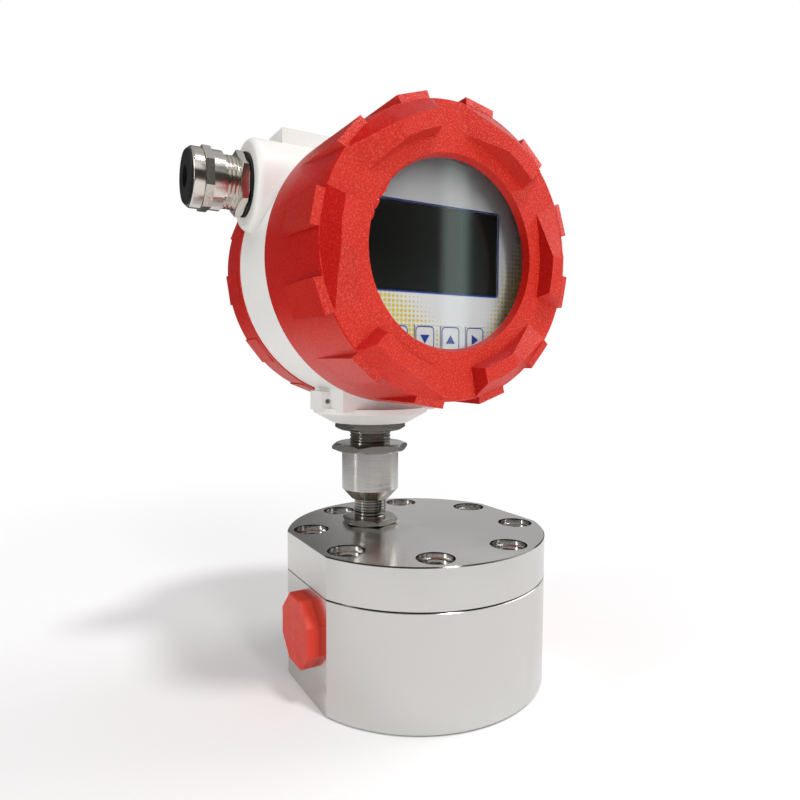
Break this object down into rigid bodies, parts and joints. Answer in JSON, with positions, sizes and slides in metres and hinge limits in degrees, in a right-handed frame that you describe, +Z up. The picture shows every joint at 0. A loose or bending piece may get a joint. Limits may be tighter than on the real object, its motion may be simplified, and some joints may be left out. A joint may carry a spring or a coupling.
{
  "type": "oval gear flowmeter",
  "caption": "Positive displacement flowmeter: round steel body with two oval gears, capped side ports, and a display head with screwed covers on a threaded stem.",
  "frame": {"origin": "middle of the round underside of the meter body", "axes": "+Z up through the meter body, the display window faces -Y, the inlet faces -X"},
  "size_m": [0.1476, 0.11, 0.2263],
  "materials": {
    "steel_body": "turned stainless steel, fine vertical machining marks",
    "steel_turned": "turned and lightly polished stainless steel",
    "steel_screw": "bright stainless steel",
    "gear_steel": "milled stainless steel",
    "bush_carbon": "plain carbon",
    "magnet": "plated magnet",
    "red_plastic": "moulded, slightly glossy",
    "white_paint": "cast aluminium with off-white enamel",
    "red_paint": "cast aluminium with red textured powder coat",
    "seal_rubber": "matt black",
    "window_glass": "clear toughened glass",
    "black_anodised": "black anodised",
    "plate_white": "printed white foil on sheet",
    "screen_black": "dark screen, switched off",
    "board_green": "solder-masked board",
    "post_brass": "turned brass",
    "key_white": "white key with a blue mark",
    "switch_black": "moulded switch",
    "terminal_grey": "moulded terminal strip",
    "nickel": "nickel-plated brass"
  },
  "bodies": {
    "base": {"meter_body": "steel_body", "meter_lid": "steel_body", "lid_seal": "seal_rubber", "lid_screws": "steel_screw", "gear_shaft_a": "steel_screw", "gear_shaft_b": "steel_screw", "pickup_sensor": "steel_turned", "lid_lock_nut": "steel_turned", "stem_adapter": "steel_turned", "head_lock_nut": "steel_turned"},
    "gear_a": {"oval_gear_a": "gear_steel", "gear_bush_a": "bush_carbon", "gear_magnets": "magnet"},
    "gear_b": {"oval_gear_b": "gear_steel", "gear_bush_b": "bush_carbon"},
    "inlet_plug": {"inlet_plug": "red_plastic"},
    "outlet_plug": {"outlet_plug": "red_plastic"},
    "head": {"housing": "white_paint", "front_cover_seal": "seal_rubber", "rear_cover_seal": "seal_rubber", "face_plate": "plate_white", "lcd_module": "screen_black", "display_board": "board_green", "board_standoffs": "post_brass", "plate_standoffs": "post_brass", "key_switches": "switch_black", "terminal_block": "terminal_grey", "terminal_screws": "nickel", "gland_seal": "seal_rubber", "gland_lock_nut": "nickel", "gland_body": "nickel", "gland_insert": "seal_rubber", "blind_plug": "nickel", "blind_plug_seal": "seal_rubber"},
    "front_cover": {"front_cover": "red_paint", "window_gasket": "seal_rubber", "window_glass": "window_glass", "window_retainer": "black_anodised"},
    "rear_cover": {"rear_cover": "red_paint"},
    "key_menu": {"key_menu": "key_white"},
    "key_down": {"key_down": "key_white"},
    "key_up": {"key_up": "key_white"},
    "key_right": {"key_right": "key_white"},
    "gland_cap": {"gland_cap": "nickel"}
  },
  "joints": [
    {"name": "gear_a_spin", "type": "hinge", "parent": "base", "child": "gear_a", "pos_m": [0, 0.017, 0.032], "axis": [0, 0, 1], "continuous": true},
    {"name": "gear_b_spin", "type": "hinge", "parent": "base", "child": "gear_b", "pos_m": [0, -0.017, 0.032], "axis": [0, 0, 1], "continuous": true},
    {"name": "head_turn", "type": "hinge", "parent": "base", "child": "head", "pos_m": [-0.0134, 0.017, 0.11], "axis": [0, 0, 1], "range_deg": [-170, 170]},
    {"name": "front_cover_off", "type": "slide", "parent": "head", "child": "front_cover", "axis": [0, -1, 0], "range_m": [0, 0.06]},
    {"name": "rear_cover_off", "type": "slide", "parent": "head", "child": "rear_cover", "axis": [0, 1, 0], "range_m": [0, 0.06]},
    {"name": "inlet_plug_off", "type": "slide", "parent": "base", "child": "inlet_plug", "axis": [-1, 0, 0], "range_m": [0, 0.03]},
    {"name": "outlet_plug_off", "type": "slide", "parent": "base", "child": "outlet_plug", "axis": [1, 0, 0], "range_m": [0, 0.03]},
    {"name": "key_menu_press", "type": "slide", "parent": "head", "child": "key_menu", "axis": [0, 1, 0], "range_m": [0, 0.0004], "stiffness_N_per_m": 1200, "springref_m": -0.0004},
    {"name": "key_down_press", "type": "slide", "parent": "head", "child": "key_down", "axis": [0, 1, 0], "range_m": [0, 0.0004], "stiffness_N_per_m": 1200, "springref_m": -0.0004},
    {"name": "key_up_press", "type": "slide", "parent": "head", "child": "key_up", "axis": [0, 1, 0], "range_m": [0, 0.0004], "stiffness_N_per_m": 1200, "springref_m": -0.0004},
    {"name": "key_right_press", "type": "slide", "parent": "head", "child": "key_right", "axis": [0, 1, 0], "range_m": [0, 0.0004], "stiffness_N_per_m": 1200, "springref_m": -0.0004},
    {"name": "gland_cap_turn", "type": "hinge", "parent": "head", "child": "gland_cap", "pos_m": [-0.0881, 0.017, 0.2017], "axis": [-1, 0, 0], "range_deg": [0, 540]}
  ],
  "couplings": [
    {"joint": "gear_b_spin", "follows": "gear_a_spin", "ratio": -1}
  ]
}
